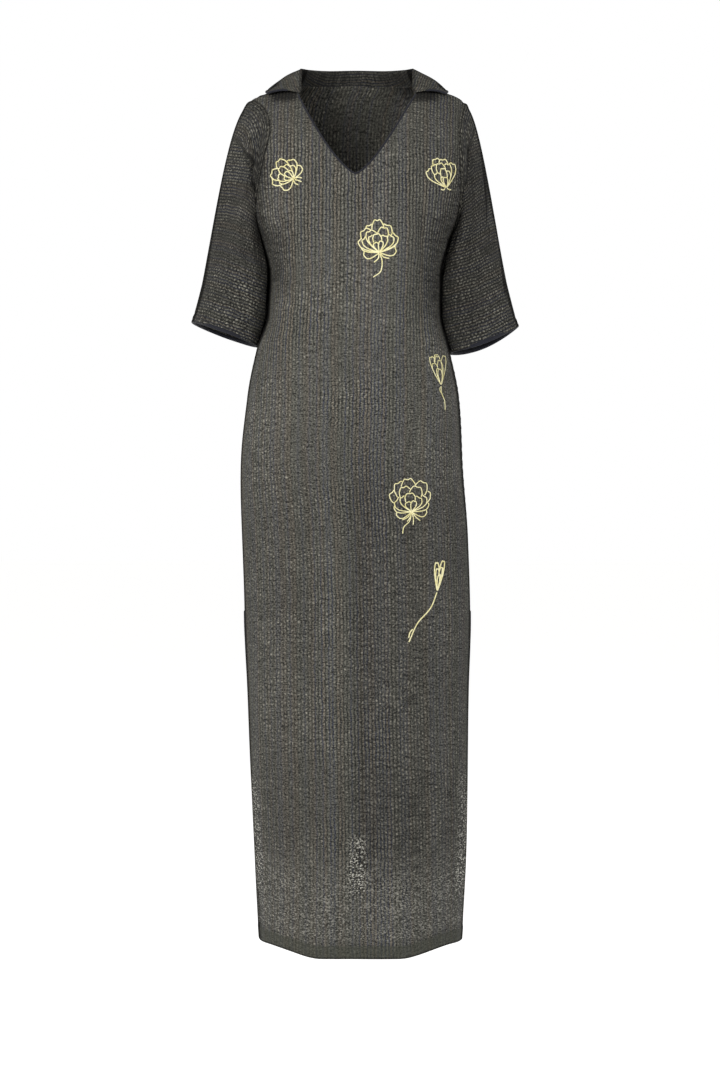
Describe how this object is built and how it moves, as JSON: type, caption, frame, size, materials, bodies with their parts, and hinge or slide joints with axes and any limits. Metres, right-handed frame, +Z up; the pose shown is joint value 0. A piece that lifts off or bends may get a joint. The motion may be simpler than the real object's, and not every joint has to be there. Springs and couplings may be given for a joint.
{
  "type": "tunic dress",
  "caption": "Long straight tunic dress in its worn form, with a wide V neck, turned collar, loose elbow-length sleeves and high side slits.",
  "frame": {"origin": "midway between the two high shoulder points, where the dress hangs on its wearer", "axes": "+Z up, the front faces -Y, +X towards the wearer's left"},
  "size_m": [0.494, 0.242, 1.3246],
  "materials": {
    "striped_cloth": "matt yarn-dyed cotton weave, warm dark grey with fine upright stripes",
    "collar_cloth": "the same cloth on the collar, cut crosswise and darker",
    "navy_trim": "matt dark navy cotton binding",
    "gold_thread": "soft pale gold embroidery thread"
  },
  "bodies": {
    "root": {"front": "striped_cloth", "back": "striped_cloth", "sleeve_left": "striped_cloth", "sleeve_right": "striped_cloth", "collar": "collar_cloth", "collar_piping": "navy_trim", "neck_binding": "navy_trim", "cuff_binding_left": "navy_trim", "cuff_binding_right": "navy_trim"}
  },
  "joints": []
}
